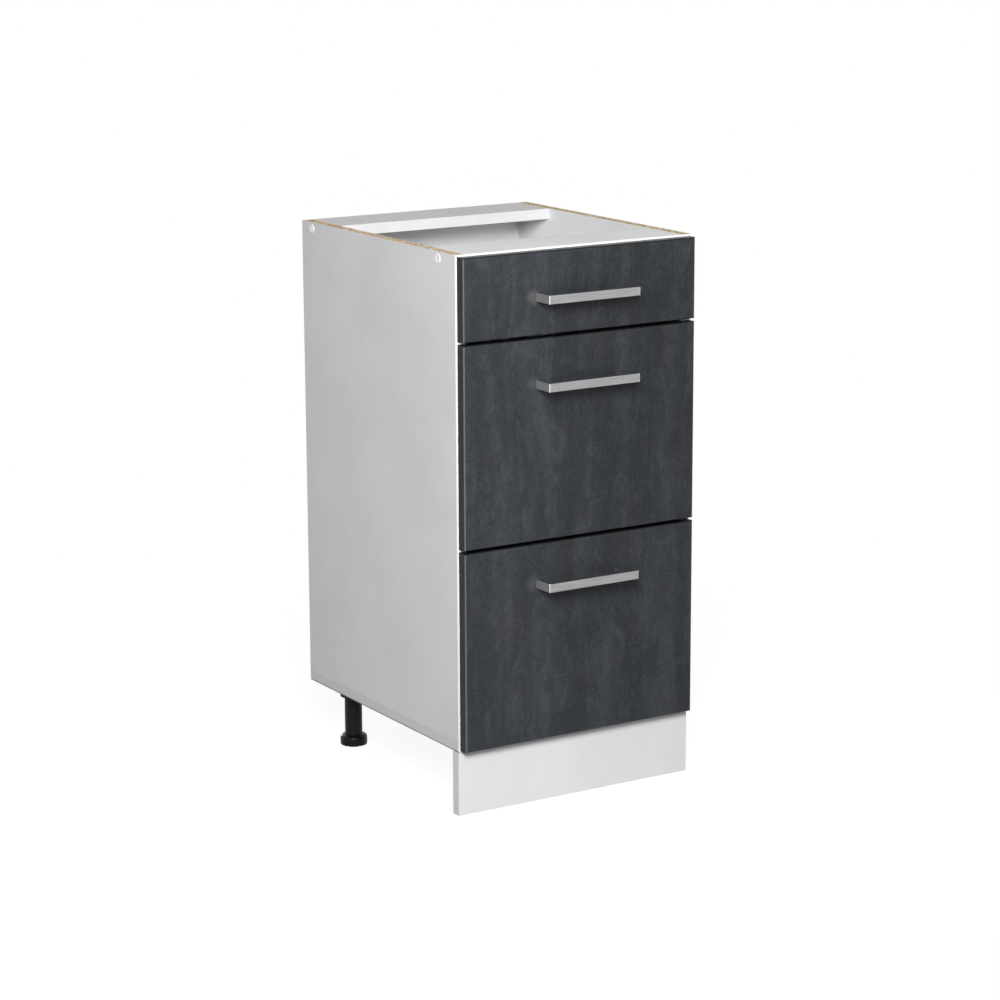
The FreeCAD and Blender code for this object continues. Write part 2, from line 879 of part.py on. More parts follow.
def make_front(drawer):
    """The front board, rounded all round its face."""
    front_z = f"place.{drawer}_front_z"
    height = f"place.{drawer}_front_height"
    half = "place.front_width / 2"
    body = extruded(
        f"{drawer}_front_board",
        "XZ_Plane",
        [(f"-({half})", "0"), (half, "0"), (half, height), (f"-({half})", height)],
        "size.front_thickness",
        ("0", "place.face_front", front_z),
    )
    doc.recompute()
    face_y = body.Shape.BoundBox.YMin
    return round_edges(
        body,
        lambda point: abs(body.Placement.multVec(point).y - face_y) < SAME_PLACE,
        "size.front_rounding",
    )


def make_handle(drawer):
    """A square bar on two flat legs, in one piece."""
    half = "place.handle_half"
    reach = "-size.handle_reach"
    body = extruded(
        f"{drawer}_handle_bow",
        "XY_Plane",
        [
            (f"-({half})", "0"),
            (f"-({half})", reach),
            (half, reach),
            (half, "0"),
            (f"{half} - size.handle_leg", "0"),
            (f"{half} - size.handle_leg", f"size.bar_depth + {reach}"),
            (f"size.handle_leg - {half}", f"size.bar_depth + {reach}"),
            (f"size.handle_leg - {half}", "0"),
        ],
        "size.bar_height",
        ("0", "place.face_front", f"place.{drawer}_handle_z - size.bar_height / 2"),
    )
    round_uprights(body, reach, "size.handle_corner")
    round_uprights(body, f"size.bar_depth + {reach}", "size.handle_inner_corner")
    return body


def round_uprights(body, line_y, radius):
    """Rounds the upright edges that stand at one depth."""
    doc.recompute()
    base = body.Tip
    depth = value(line_y)
    names = []
    for number, edge in enumerate(base.Shape.Edges, start=1):
        ends = [vertex.Point for vertex in edge.Vertexes]
        upright = abs(ends[0].z - ends[-1].z) > SAME_PLACE
        if upright and all(abs(end.y - depth) < SAME_PLACE for end in ends):
            names.append(f"Edge{number}")
    fillet = body.newObject("PartDesign::Fillet", base.Name + "_round")
    fillet.Base = (base, names)
    fillet.setExpression("Radius", radius)


def make_steel_side(drawer):
    """The right-hand side: wall, lip under the base, running flange and top bead."""
    height = f"place.{drawer}_side"
    section = [
        ("-size.base_lip", "0"),
        ("0", "0"),
        ("0", "place.flange_under_rise"),
        ("size.running_flange", "place.flange_under_rise"),
        ("size.running_flange", "place.flange_under_rise + 2 * size.steel"),
        ("0", "place.flange_under_rise + 2 * size.steel"),
        ("0", f"{height} - size.bead_height"),
        ("size.bead_width", f"{height} - size.bead_height"),
        ("size.bead_width", height),
        ("-size.steel", height),
        ("-size.steel", "size.steel"),
        ("-size.base_lip", "size.steel"),
    ]
    at = ("place.box_half", "place.front_plane", f"place.{drawer}_box_z")
    profile = extruded(f"{drawer}_side_profile", "XZ_Plane", section, "place.box_length", at)
    pin_at = (
        "place.box_half",
        "place.rear_roller_y",
        f"place.{drawer}_box_z + place.rear_roller_rise",
    )
    pin = copies(f"{drawer}_drawer_pin", drawer_pin, [(pin_at, "+X")])
    return fused(f"{drawer}_side_blank", profile, pin)


def make_bracket(drawer):
    """The right-hand angle that joins front and steel side, with its two rivets."""
    thick = "size.bracket_thickness"
    base_z = f"place.{drawer}_box_z + place.base_rise"
    height = f"place.{drawer}_bracket"
    angle = extruded(
        f"{drawer}_bracket_angle",
        "XY_Plane",
        [
            ("0", "0"),
            ("0", "size.bracket_tongue"),
            (f"-{thick}", "size.bracket_tongue"),
            (f"-{thick}", thick),
            ("-size.bracket_plate", thick),
            ("-size.bracket_plate", "0"),
        ],
        height,
        ("place.wall_inner", "place.front_plane", base_z),
    )
    rivets = []
    for step in range(2):
        y = f"place.front_plane + size.rivet_setback + {step} * size.rivet_pitch"
        z = f"{base_z} + {height} / 2"
        spot = ("place.wall_inner", y, z)
        rivets.append(
            rod(f"{drawer}_rivet_{step}", "size.rivet_radius", "size.steel + size.rivet_head", spot, "+X")
        )
        spot = ("place.box_half", y, z)
        rivets.append(
            rod(f"{drawer}_rivet_head_{step}", "size.rivet_head_radius", "size.rivet_head", spot, "+X")
        )
    return fused(f"{drawer}_bracket_right", angle, *rivets)


def rivet_holes(drawer):
    """The holes in the right-hand steel side for the bracket's rivets."""
    holes = []
    for step in range(2):
        spot = (
            "place.wall_inner",
            f"place.front_plane + size.rivet_setback + {step} * size.rivet_pitch",
            f"place.{drawer}_box_z + place.base_rise + place.{drawer}_bracket / 2",
        )
        radius = "size.rivet_radius + size.rivet_clearance"
        holes.append(rod(f"{drawer}_rivet_hole_{step}", radius, "size.steel", spot, "+X"))
    return holes


BACK_SCREW_SHARES = {"top": ("1 / 2",), "middle": ("1 / 3", "2 / 3"), "bottom": ("1 / 3", "2 / 3")}


def drawer_screw_spots(drawer):
    """Screws through brackets into the front, sides into the back, lips into the base."""
    box_z = f"place.{drawer}_box_z"
    base_z = f"{box_z} + place.base_rise"
    bracket = f"place.{drawer}_bracket"
    back_y = "place.front_plane + place.box_length - size.drawer_board / 2"
    plate_middle = "place.wall_inner - (size.bracket_plate + size.bracket_thickness) / 2"
    lip_middle = "place.box_half - (size.base_lip + size.steel) / 2"
    spots = []
    for sign in SIDES:
        for z in (f"{base_z} + size.bracket_edge", f"{base_z} + {bracket} - size.bracket_edge"):
            y = "place.front_plane + size.bracket_thickness"
            spots.append(((along(sign, plate_middle), y, z), "-Y"))
        wall_low = f"{box_z} + place.channel_rise + size.runner_steel"
        wall_high = f"{box_z} + place.{drawer}_side - size.bead_height"
        for share in BACK_SCREW_SHARES[drawer]:
            z = f"{wall_low} + ({wall_high} - ({wall_low})) * {share}"
            spots.append(((along(sign, "place.box_half"), back_y, z), inward(sign)))
        for y in (
            "place.front_plane + size.lip_screw_margin",
            "place.front_plane + place.box_length / 2",
            "place.front_plane + place.box_length - size.lip_screw_margin",
        ):
            spots.append(((along(sign, lip_middle), y, box_z), "+Z"))
    return spots


def make_drawer(drawer):
    """All the pieces that slide together, and the pair of wheels at their rear end."""
    box_z = f"place.{drawer}_box_z"
    bolt_spots = [
        ((along(sign, "size.handle_pitch / 2"), "place.front_plane", f"place.{drawer}_handle_z"), "-Y")
        for sign in SIDES
    ]
    screw_spots = drawer_screw_spots(drawer)
    bolt_holes = copies(f"{drawer}_bolt_holes", bolt_hole, bolt_spots)
    screw_holes = copies(f"{drawer}_screw_holes", screw_hole, screw_spots)
    keep(f"{drawer}_drawer_front", drilled(f"{drawer}_front", make_front(drawer), bolt_holes, screw_holes))
    keep(f"{drawer}_drawer_handle", drilled(f"{drawer}_handle", make_handle(drawer), bolt_holes))
    screws = [
        copies(f"{drawer}_bolts", bolt, bolt_spots),
        copies(f"{drawer}_screws", screw, screw_spots),
    ]
    keep(f"{drawer}_drawer_screws", joined_group(f"{drawer}_fixings", screws))

    steel = make_steel_side(drawer)
    side = drilled(f"{drawer}_steel_side", steel, screw_holes, *rivet_holes(drawer))
    both_sides(f"{drawer}_drawer_side", side)
    base = box(
        f"{drawer}_base_blank",
        ("-place.wall_inner", "place.front_plane", f"{box_z} + size.steel"),
        ("2 * place.wall_inner", "place.box_length", "size.drawer_board"),
    )
    keep(f"{drawer}_drawer_base", drilled(f"{drawer}_base", base, screw_holes))
    back = box(
        f"{drawer}_back_blank",
        (
            "-place.wall_inner",
            "place.front_plane + place.box_length - size.drawer_board",
            f"{box_z} + place.base_rise",
        ),
        (
            "2 * place.wall_inner",
            "size.drawer_board",
            f"place.{drawer}_side - place.base_rise - size.back_drop",
        ),
    )
    keep(f"{drawer}_drawer_back", drilled(f"{drawer}_back", back, screw_holes))
    bracket = drilled(f"{drawer}_bracket_drilled", make_bracket(drawer), screw_holes)
    pair = [bracket, mirrored(f"{drawer}_bracket_twin", bracket)]
    keep(f"{drawer}_drawer_brackets", joined_group(f"{drawer}_bracket_pair", pair))
    wheel_z = f"{box_z} + place.rear_roller_rise"
    wheel_spots = [
        ((along(sign, "place.drawer_wheel_x"), "place.rear_roller_y", wheel_z), "+X") for sign in SIDES
    ]
    keep(f"{drawer}_drawer_rollers", copies(f"{drawer}_rear_wheels", wheel, wheel_spots))


def make_runners(drawer):
    """The channels on the cabinet's sides, and the wheel at each channel's front end."""
    box_z = f"place.{drawer}_box_z"
    thick = "size.runner_steel"
    height = "place.channel_height"
    section = [
        ("0", "0"),
        ("0", height),
        ("-size.runner_flange", height),
        ("-size.runner_flange", f"{height} - {thick}"),
        (f"-{thick}", f"{height} - {thick}"),
        (f"-{thick}", thick),
        ("-size.runner_flange", thick),
        ("-size.runner_flange", "0"),
    ]
    at = (
        "place.inner_half",
        "place.front_plane + size.runner_setback",
        f"{box_z} + place.channel_base_rise",
    )
    channel = extruded(f"{drawer}_channel", "XZ_Plane", section, "place.runner_length", at)
    wheel_z = f"{box_z} + place.front_roller_rise"
    pin_at = ("place.web_face", "place.front_roller_y", wheel_z)
    pin = copies(f"{drawer}_runner_pin", runner_pin, [(pin_at, "-X")])
    blank = fused(f"{drawer}_runner_blank", channel, pin)
    both_sides(f"{drawer}_runner", drilled(f"{drawer}_runner_drilled", blank, runner_holes))
    wheel_spots = [
        ((along(sign, "place.runner_wheel_x"), "place.front_roller_y", wheel_z), "+X")
        for sign in SIDES
    ]
    keep(f"{drawer}_runner_rollers", copies(f"{drawer}_front_wheels", wheel, wheel_spots))


for drawer in DRAWERS:
    make_drawer(drawer)
    make_runners(drawer)

# ---- checks and export --------------------------------------------------------------------

doc.recompute()
for item in doc.Objects:
    faults = {"Invalid", "Error"} & set(item.State)
    assert not faults, f"{item.Name} is {faults}"
for piece in pieces:
    shape = piece.Shape
    assert not shape.isNull() and shape.isValid() and shape.Volume > 0, f"{piece.Label} has no sound solid"

for old in os.listdir("parts"):
    os.remove(os.path.join("parts", old))
for piece in pieces:
    piece.Shape.exportStep(f"parts/{piece.Label}.step")
whole = Part.makeCompound([piece.Shape for piece in pieces])
print(f"{len(pieces)} nodes, {len(whole.Solids)} solids, {whole.Volume / 1e6:.2f} litres")
print("whole box:", whole.BoundBox)
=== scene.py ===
import math

import bpy
from mathutils import Matrix, Vector


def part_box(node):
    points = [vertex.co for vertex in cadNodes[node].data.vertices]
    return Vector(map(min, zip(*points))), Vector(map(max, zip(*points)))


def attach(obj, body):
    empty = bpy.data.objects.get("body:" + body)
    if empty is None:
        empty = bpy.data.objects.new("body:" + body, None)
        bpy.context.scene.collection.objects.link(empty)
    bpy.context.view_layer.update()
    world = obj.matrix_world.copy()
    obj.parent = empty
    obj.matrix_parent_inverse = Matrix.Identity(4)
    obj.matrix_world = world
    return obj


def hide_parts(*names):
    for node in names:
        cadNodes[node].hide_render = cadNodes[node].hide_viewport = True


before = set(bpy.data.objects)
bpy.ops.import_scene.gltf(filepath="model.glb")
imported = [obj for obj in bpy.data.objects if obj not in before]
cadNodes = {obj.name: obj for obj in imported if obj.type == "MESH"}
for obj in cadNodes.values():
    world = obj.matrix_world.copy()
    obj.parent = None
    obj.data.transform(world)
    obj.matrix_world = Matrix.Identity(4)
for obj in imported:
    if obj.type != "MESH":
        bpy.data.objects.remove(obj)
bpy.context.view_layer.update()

mm = 0.001
drawers = ("top", "middle", "bottom")
corners = [f"{end}_{hand}" for end in ("front", "rear") for hand in ("left", "right")]
print("frame loaded:", len(cadNodes), "nodes")


# a colour as a paint program shows it, 0 to 255, turned into what the shader takes
def shade(red, green, blue):
    def straight(channel):
        channel = channel / 255
        if channel <= 0.04045:
            return channel / 12.92
        return ((channel + 0.055) / 1.055) ** 2.4

    return (straight(red), straight(green), straight(blue), 1.0)


# a wrapped output socket, so that sums on it are written as sums
class Wire:
    def __init__(self, finish, socket):
        self.finish = finish
        self.socket = socket

    def sum(self, operation, *terms):
        return self.finish.node("Math", {"operation": operation}, dict(enumerate(terms)))

    def __add__(self, other):
        return self.sum("ADD", self, other)

    def __radd__(self, other):
        return self.sum("ADD", other, self)

    def __sub__(self, other):
        return self.sum("SUBTRACT", self, other)

    def __rsub__(self, other):
        return self.sum("SUBTRACT", other, self)

    def __mul__(self, other):
        return self.sum("MULTIPLY", self, other)

    def __rmul__(self, other):
        return self.sum("MULTIPLY", other, self)

    def __gt__(self, other):
        return self.sum("GREATER_THAN", self, other)

    def __lt__(self, other):
        return self.sum("LESS_THAN", self, other)

    def size(self):
        return self.sum("ABSOLUTE", self)

    def atLeast(self, other):
        return self.sum("MAXIMUM", self, other)

    def between(self, low, high):
        return (self > low) * (self < high)


# one finish: a material, or the world, with the nodes that it is made of
class Finish:
    def __init__(self, name, owner=None):
        self.owner = owner or bpy.data.materials.new(name)
        self.owner.use_nodes = True
        self.tree = self.owner.node_tree
        self.tree.nodes.clear()

    # adds a node: its settings come first, then the values or links of its sockets
    def node(self, kind, settings=None, values=None, out=0):
        made = self.tree.nodes.new("ShaderNode" + kind)
        for name, setting in (settings or {}).items():
            if name == "stops":
                ramp = made.color_ramp
                first, last = ramp.elements
                first.position, first.color = setting[0]
                last.position, last.color = setting[-1]
                for place, colour in setting[1:-1]:
                    ramp.elements.new(place).color = colour
            else:
                setattr(made, name, setting)
        for name, value in (values or {}).items():
            socket = made.inputs[name]
            if isinstance(value, Wire):
                self.tree.links.new(value.socket, socket)
            else:
                socket.default_value = value
        return Wire(self, made.outputs[out])

    # the place on the object, moved, turned and stretched; a small scale draws a pattern out
    def place(self, scale=(1, 1, 1), shift=(0, 0, 0), turn=(0, 0, 0)):
        spot = self.node("TexCoord", out="Object")
        return self.node("Mapping", None, {"Vector": spot, "Location": shift,
                                           "Rotation": turn, "Scale": scale})

    # one of the three coordinates on the object, in metres
    def along(self, axis):
        spot = self.node("TexCoord", out="Object")
        return self.node("SeparateXYZ", None, {0: spot}, axis.upper())

    # scale counts the blotches in a metre
    def noise(self, spot, scale, detail=3.0, rough=0.5, warp=0.0):
        return self.node("TexNoise", None, {"Vector": spot, "Scale": scale, "Detail": detail,
                                            "Roughness": rough, "Distortion": warp})

    def cells(self, spot, scale, out="Distance"):
        return self.node("TexVoronoi", None, {"Vector": spot, "Scale": scale}, out)

    # one random grey for each cell
    def flakes(self, spot, scale):
        return self.node("SeparateColor", None, {0: self.cells(spot, scale, "Color")}, 0)

    # 0 at low and 1 at high, smooth between; low may be the larger one
    def rise(self, value, low, high):
        return self.node("MapRange", {"interpolation_type": "SMOOTHSTEP"},
                         {0: value, 1: low, 2: high})

    # comes up between two distances in from an edge; inwards is 1 up the axis or -1 down it
    def fromEdge(self, value, edge, inwards, span):
        return self.rise(value, edge + inwards * span[0], edge + inwards * span[1])

    def ramp(self, value, *stops):
        return self.node("ValToRGB", {"stops": stops}, {0: value})

    def mix(self, mask, under, over):
        return self.node("Mix", {"data_type": "RGBA"}, {0: mask, 6: under, 7: over}, 2)

    def bump(self, height, strength, depth):
        return self.node("Bump", None, {"Height": height, "Strength": strength, "Distance": depth})

    def finishAt(self, kind, shader):
        end = self.tree.nodes.new("ShaderNode" + kind)
        self.tree.links.new(shader.socket, end.inputs["Surface"])

    # the shader itself; what is the same all over goes in as a plain number
    def surface(self, colour, roughness, normal, others):
        values = {"Base Color": colour, "Roughness": roughness, "Normal": normal, **others}
        self.finishAt("OutputMaterial", self.node("BsdfPrincipled", None, values, "BSDF"))
        return self.owner


# how meshes are cleaned and rounded
meshRules = {
    "samePoint": 0.005 * mm,            # corners of a CAD copy that are nearer than this are one
    "sameTurnedPoint": 0.01 * mm,
    "flatWithin": math.radians(0.5),    # triangles that differ less than this are one face
    "sharpFrom": math.radians(40),      # edges sharper than this are broken
    "edgeSteps": 2,
    "smoothUnder": math.radians(35),    # edges blunter than this are shaded round
}


# nothing else selected, so that the next operator meets only what it is meant for
def onlySelect(*pieces):
    if bpy.context.object and bpy.context.object.mode != "OBJECT":
        bpy.ops.object.mode_set(mode="OBJECT")
    bpy.ops.object.select_all(action="DESELECT")
    for piece in pieces:
        piece.select_set(True)
        bpy.context.view_layer.objects.active = piece


# hands a finished piece to its body, its finish and the CAD node it stands for
def settle(piece, body, finish, node):
    piece.data.materials.clear()
    piece.data.materials.append(finish)
    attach(piece, body)
    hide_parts(node)


# a copy of a CAD node with its sharp edges broken, as sandpaper or a cutter leaves them
def softened(node, name, body, finish, width):
    onlySelect(cadNodes[node])
    bpy.ops.object.duplicate()
    piece = bpy.context.object
    piece.name = name
    for key in list(piece.keys()):      # the copy forgets that it was a CAD node
        del piece[key]
    piece.parent = None
    bpy.ops.object.mode_set(mode="EDIT")
    bpy.ops.mesh.select_all(action="SELECT")
    bpy.ops.mesh.remove_doubles(threshold=meshRules["samePoint"])
    bpy.ops.mesh.dissolve_limited(angle_limit=meshRules["flatWithin"])
    bpy.ops.object.mode_set(mode="OBJECT")
    edge = piece.modifiers.new("edge", "BEVEL")
    edge.width = width
    edge.segments = meshRules["edgeSteps"]
    edge.limit_method = "ANGLE"
    edge.angle_limit = meshRules["sharpFrom"]
    bpy.ops.object.modifier_apply(modifier="edge")
    bpy.ops.object.shade_flat()
    settle(piece, body, finish, node)


# turns an outline of (radius, height) points, in mm, round an axis, as a lathe does
def turnedPiece(name, outline, centre, axis=(0, 0, 1), steps=48):
    axis = Vector(axis).normalized()
    out = axis.orthogonal().normalized()
    centre = Vector(centre)
    onlySelect()
    bpy.ops.mesh.primitive_plane_add(size=mm)
    piece = bpy.context.object
    piece.name = name
    bpy.ops.object.mode_set(mode="EDIT")
    bpy.ops.mesh.select_all(action="SELECT")
    bpy.ops.mesh.merge(type="CENTER")
    spots = [centre + out * radius * mm + axis * height * mm for radius, height in outline]
    bpy.ops.transform.translate(value=spots[0])
    for before, after in zip(spots, spots[1:]):
        bpy.ops.mesh.extrude_vertices_move(TRANSFORM_OT_translate={"value": after - before})
    bpy.ops.mesh.select_all(action="SELECT")
    bpy.ops.mesh.spin(steps=steps, angle=2 * math.pi, center=centre, axis=axis)
    bpy.ops.mesh.select_all(action="SELECT")
    bpy.ops.mesh.remove_doubles(threshold=meshRules["sameTurnedPoint"])
    bpy.ops.mesh.normals_make_consistent(inside=False)
    bpy.ops.object.mode_set(mode="OBJECT")
    bpy.ops.object.shade_smooth_by_angle(angle=meshRules["smoothUnder"])
    return piece


# one mesh out of several
def joined(name, pieces):
    onlySelect(*pieces)
    bpy.ops.object.join()
    whole = bpy.context.object
    whole.name = name
    return whole


# a CAD node keeps its mesh and gets one of the finishes
def paint(finish, *names):
    for name in names:
        piece = cadNodes[name]
        piece.data.materials.clear()
        piece.data.materials.append(finish)
        for slot in piece.material_slots:
            slot.material = finish


# the names of the CAD nodes that every drawer has
def perDrawer(*endings):
    return [f"{drawer}_{ending}" for drawer in drawers for ending in endings]


# raw chipboard as a saw leaves it: pale and brown chips with dark specks among them
chipboard = {
    "tan": shade(226, 200, 160),
    "pale": shade(248, 232, 204),
    "brown": shade(188, 146, 98),
    "dark": shade(120, 82, 48),
    "chipSize": 3.2 * mm,
    "speckSize": 1.7 * mm,
    "speckPatches": 45.0,
    "speckStrength": 0.85,
}


def chipboardColour(f, stretch):
    k = chipboard
    spot = f.place(scale=stretch)
    tone = f.flakes(spot, 1 / k["chipSize"])
    fine = f.noise(spot, 1 / k["speckSize"], 2.0, 0.6)
    patches = f.noise(spot, k["speckPatches"], 2.0)
    base = f.ramp(tone * 0.8 + fine * 0.2, (0.14, k["brown"]), (0.36, k["tan"]),
                  (0.56, k["tan"]), (0.78, k["pale"]))
    speck = f.rise(fine, 0.55, 0.62) * f.rise(patches, 0.3, 0.46)
    return f.mix(speck * k["speckStrength"], base, k["dark"]), tone, fine


# white faced boards of the carcass and the plinth
whiteBoard = {
    "colour": shade(233, 233, 234),
    "cloud": shade(226, 226, 228),
    "scuff": shade(214, 213, 211),
    "frontBandHighlight": shade(252, 252, 252),      # the edge strip in front, whiter than the faces, partly a painted highlight
    "endBand": shade(221, 221, 222),        # the edge strips at both ends of the bottom panel
    # painted shade along the lowest edge of the bottom panel's end strips
    "lowShadeLine": shade(84, 84, 86),
    # painted shade on the top face of the rear rail
    "topShade": shade(194, 190, 189),
    "cloudScale": 6.0,
    "poreScale": 900.0,
    "scuffScale": 38.0,
    "scuffStrength": 0.25,
    "lowShadeStrength": 0.85,
    "topShadeStrength": 0.7,
    "roughness": 0.36,
    "rawRougher": 0.4,
    "gloss": 0.22,
    "relief": 0.15 * mm,
    "skin": 0.6 * mm,           # the white face over the chips
    "brokenEdge": 0.5 * mm,
    "frontDepth": 0.25 * mm,    # how far from an edge its own finish still shows
    "endDepth": 0.3 * mm,
    "rawDepth": 0.2 * mm,
    "topShadeDepth": 0.15 * mm,
    "lowShadeSpan": (2.0 * mm, 1.3 * mm),       # the painted shade line along the lowest edge comes up between these two heights
}


# the smooth white face, its faint clouding and the fine skin that the press leaves;
# the last number in a roughness takes off what its patterns add on average
def whiteFace(f):
    k = whiteBoard
    spot = f.place()
    cloud = f.noise(spot, k["cloudScale"], 4.0, 0.55)
    pore = f.noise(spot, k["poreScale"], 2.0, 0.5)
    rub = f.noise(f.place(scale=(1, 1, 0.35)), k["scuffScale"], 5.0, 0.7, 0.6)
    scuff = f.rise(rub, 0.66, 0.8)
    colour = f.mix(f.rise(cloud, 0.35, 0.7), k["colour"], k["cloud"])
    colour = f.mix(scuff * k["scuffStrength"], colour, k["scuff"])
    roughness = cloud * 0.1 + pore * 0.08 + scuff * 0.12 + (k["roughness"] - 0.09)
    return colour, roughness, pore


# the sides have a sawn top, raw between the two white skins
def sideTopMask(f):
    k = whiteBoard
    lowest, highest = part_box("side_panel_left")
    inner, outer = -highest.x, -lowest.x
    across = f.along("x").size()
    top = f.along("z") > highest.z - k["rawDepth"]
    return top * across.between(inner + k["skin"], outer - k["skin"])


# the front rail and the bottom panel are raw along their rear edge, between the two skins
def rearEdgeMask(f, node):
    k = whiteBoard
    lowest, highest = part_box(node)
    rear = f.along("y") > highest.y - k["rawDepth"]
    return rear * f.along("z").between(lowest.z + k["skin"], highest.z - k["skin"])


# rawMask says where a board shows its chips, and stretch how they lie along the cut
def makeWhiteBoard(name, rawMask=None, stretch=None, bandedEnds=False, shadedTop=False):
    k = whiteBoard
    f = Finish(name)
    colour, roughness, pore = whiteFace(f)
    height = pore * 0.2
    # painted highlight: the front edge strips are whiter than the white faces
    front = f.along("y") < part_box("side_panel_left")[0].y + k["frontDepth"]
    front = front * (f.along("z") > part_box("bottom_panel")[0].z)    # the plinth has no band
    colour = f.mix(front, colour, k["frontBandHighlight"])
    if bandedEnds:
        lowest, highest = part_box("bottom_panel")
        end = f.along("x").size() > highest.x - k["endDepth"]
        colour = f.mix(end, colour, k["endBand"])
        # painted shade: a dark line along the lowest edge of the end strips
        line = f.fromEdge(f.along("z"), lowest.z, 1, k["lowShadeSpan"])
        colour = f.mix(end * line * k["lowShadeStrength"], colour, k["lowShadeLine"])
    # painted shade: the top face of the rear rail is greyer
    if shadedTop:
        top = f.along("z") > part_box("rear_rail")[1].z - k["topShadeDepth"]
        colour = f.mix(top * k["topShadeStrength"], colour, k["topShade"])
    if rawMask:
        raw = rawMask(f)
        chips, tone, fine = chipboardColour(f, stretch)
        colour = f.mix(raw, colour, chips)
        roughness = roughness + raw * k["rawRougher"]
        height = height + raw * (tone * 0.6 + fine)
    normal = f.bump(height, 0.35, k["relief"])
    return f.surface(colour, roughness, normal, {"Specular IOR Level": k["gloss"]})


def makeWhiteBoards():
    alongDepth, alongWidth = (1, 0.4, 1), (0.4, 1, 1)
    sides = makeWhiteBoard("whiteSides", sideTopMask, alongDepth)
    frontRail = makeWhiteBoard("whiteFrontRail", lambda f: rearEdgeMask(f, "front_rail"),
                               alongWidth)
    bottom = makeWhiteBoard("whiteBottom", lambda f: rearEdgeMask(f, "bottom_panel"),
                            alongWidth, bandedEnds=True)
    plain = makeWhiteBoard("whitePlain")
    rearRail = makeWhiteBoard("whiteRearRail", shadedTop=True)
    boards = (
        ("side_panel_left", "sideBoard.left", "carcass", sides),
        ("side_panel_right", "sideBoard.right", "carcass", sides),
        ("bottom_panel", "bottomBoard", "carcass", bottom),
        ("front_rail", "railBoard.front", "carcass", frontRail),
        ("rear_rail", "railBoard.rear", "carcass", rearRail),
        ("plinth_panel", "kickBoard", "plinth", plain),
    )
    for node, name, body, finish in boards:
        softened(node, name, body, finish, whiteBoard["brokenEdge"])


makeWhiteBoards()
print("white boards made")


# thin fibreboard back: white lacquer inside, bare fibres behind
fibreBoard = {
    "lacquer": shade(248, 248, 249),
    "lacquerStrength": 0.85,
    "bare": shade(168, 132, 96),
    "bareDark": shade(134, 100, 70),
    "bareLight": shade(190, 156, 118),
    "bareRoughness": 0.68,
    "bareDepth": 0.2 * mm,
    "cloudScale": 9.0,
    "fibre": 1.1 * mm,
    "fibreStrength": 0.5,
    "relief": 0.2 * mm,
}


def makeBackBoard():
    k = fibreBoard
    f = Finish("backBoard")
    bare = f.along("y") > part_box("back_panel")[1].y - k["bareDepth"]
    felt = f.noise(f.place(scale=(1, 1, 1.8)), 0.5 / k["fibre"], 5.0, 0.65, 1.2)
    cloud = f.noise(f.place(), k["cloudScale"], 4.0, 0.6)
    slanted = f.place(scale=(2.4, 1, 0.5), turn=(0, 0.6, 0))
    fibres = f.noise(slanted, 1 / k["fibre"], 4.0, 0.7, 0.8)
    wood = f.ramp(felt * 0.6 + cloud * 0.4, (0.3, k["bareDark"]), (0.5, k["bare"]),
                  (0.68, k["bareLight"]))
    wood = f.mix(f.rise(fibres, 0.62, 0.75) * k["fibreStrength"], wood, k["bareLight"])
    white, roughness, pore = whiteFace(f)
    lacquer = f.mix(k["lacquerStrength"], white, k["lacquer"])
    colour = f.mix(bare, lacquer, wood)
    rough = f.node("Mix", None, {0: bare, 2: roughness, 3: felt * 0.2 + k["bareRoughness"]})
    normal = f.bump(bare * (felt + fibres) + pore * 0.15, 0.4, k["relief"])
    return f.surface(colour, rough, normal, {"IOR": 1.46})


paint(makeBackBoard(), "back_panel")


# light grey board of the drawers' floors and backs, printed with a fine linen grain
drawerBoard = {
    "colour": shade(222, 222, 222),
    "thread": shade(207, 207, 208),
    "threadScale": 1100.0,
    "threadStrength": 0.7,
    "roughness": 0.45,
    "relief": 0.05 * mm,
}


def makeDrawerBoard():
    k = drawerBoard
    f = Finish("drawerBoard")
    roughness, pore = whiteFace(f)[1:]
    lengthways = f.noise(f.place(scale=(1, 0.06, 0.06)), k["threadScale"], 2.0)
    across = f.noise(f.place(scale=(0.06, 1, 1)), k["threadScale"], 2.0)
    linen = lengthways * 0.5 + across * 0.5
    colour = f.mix(f.rise(linen, 0.42, 0.62) * k["threadStrength"], k["colour"], k["thread"])
    roughness = roughness + (k["roughness"] - whiteBoard["roughness"])
    normal = f.bump(linen + pore * 0.2, 0.12, k["relief"])
    return f.surface(colour, roughness, normal, {"IOR": 1.46})


paint(makeDrawerBoard(), *perDrawer("drawer_base", "drawer_back"))
print("back and drawer boards painted")


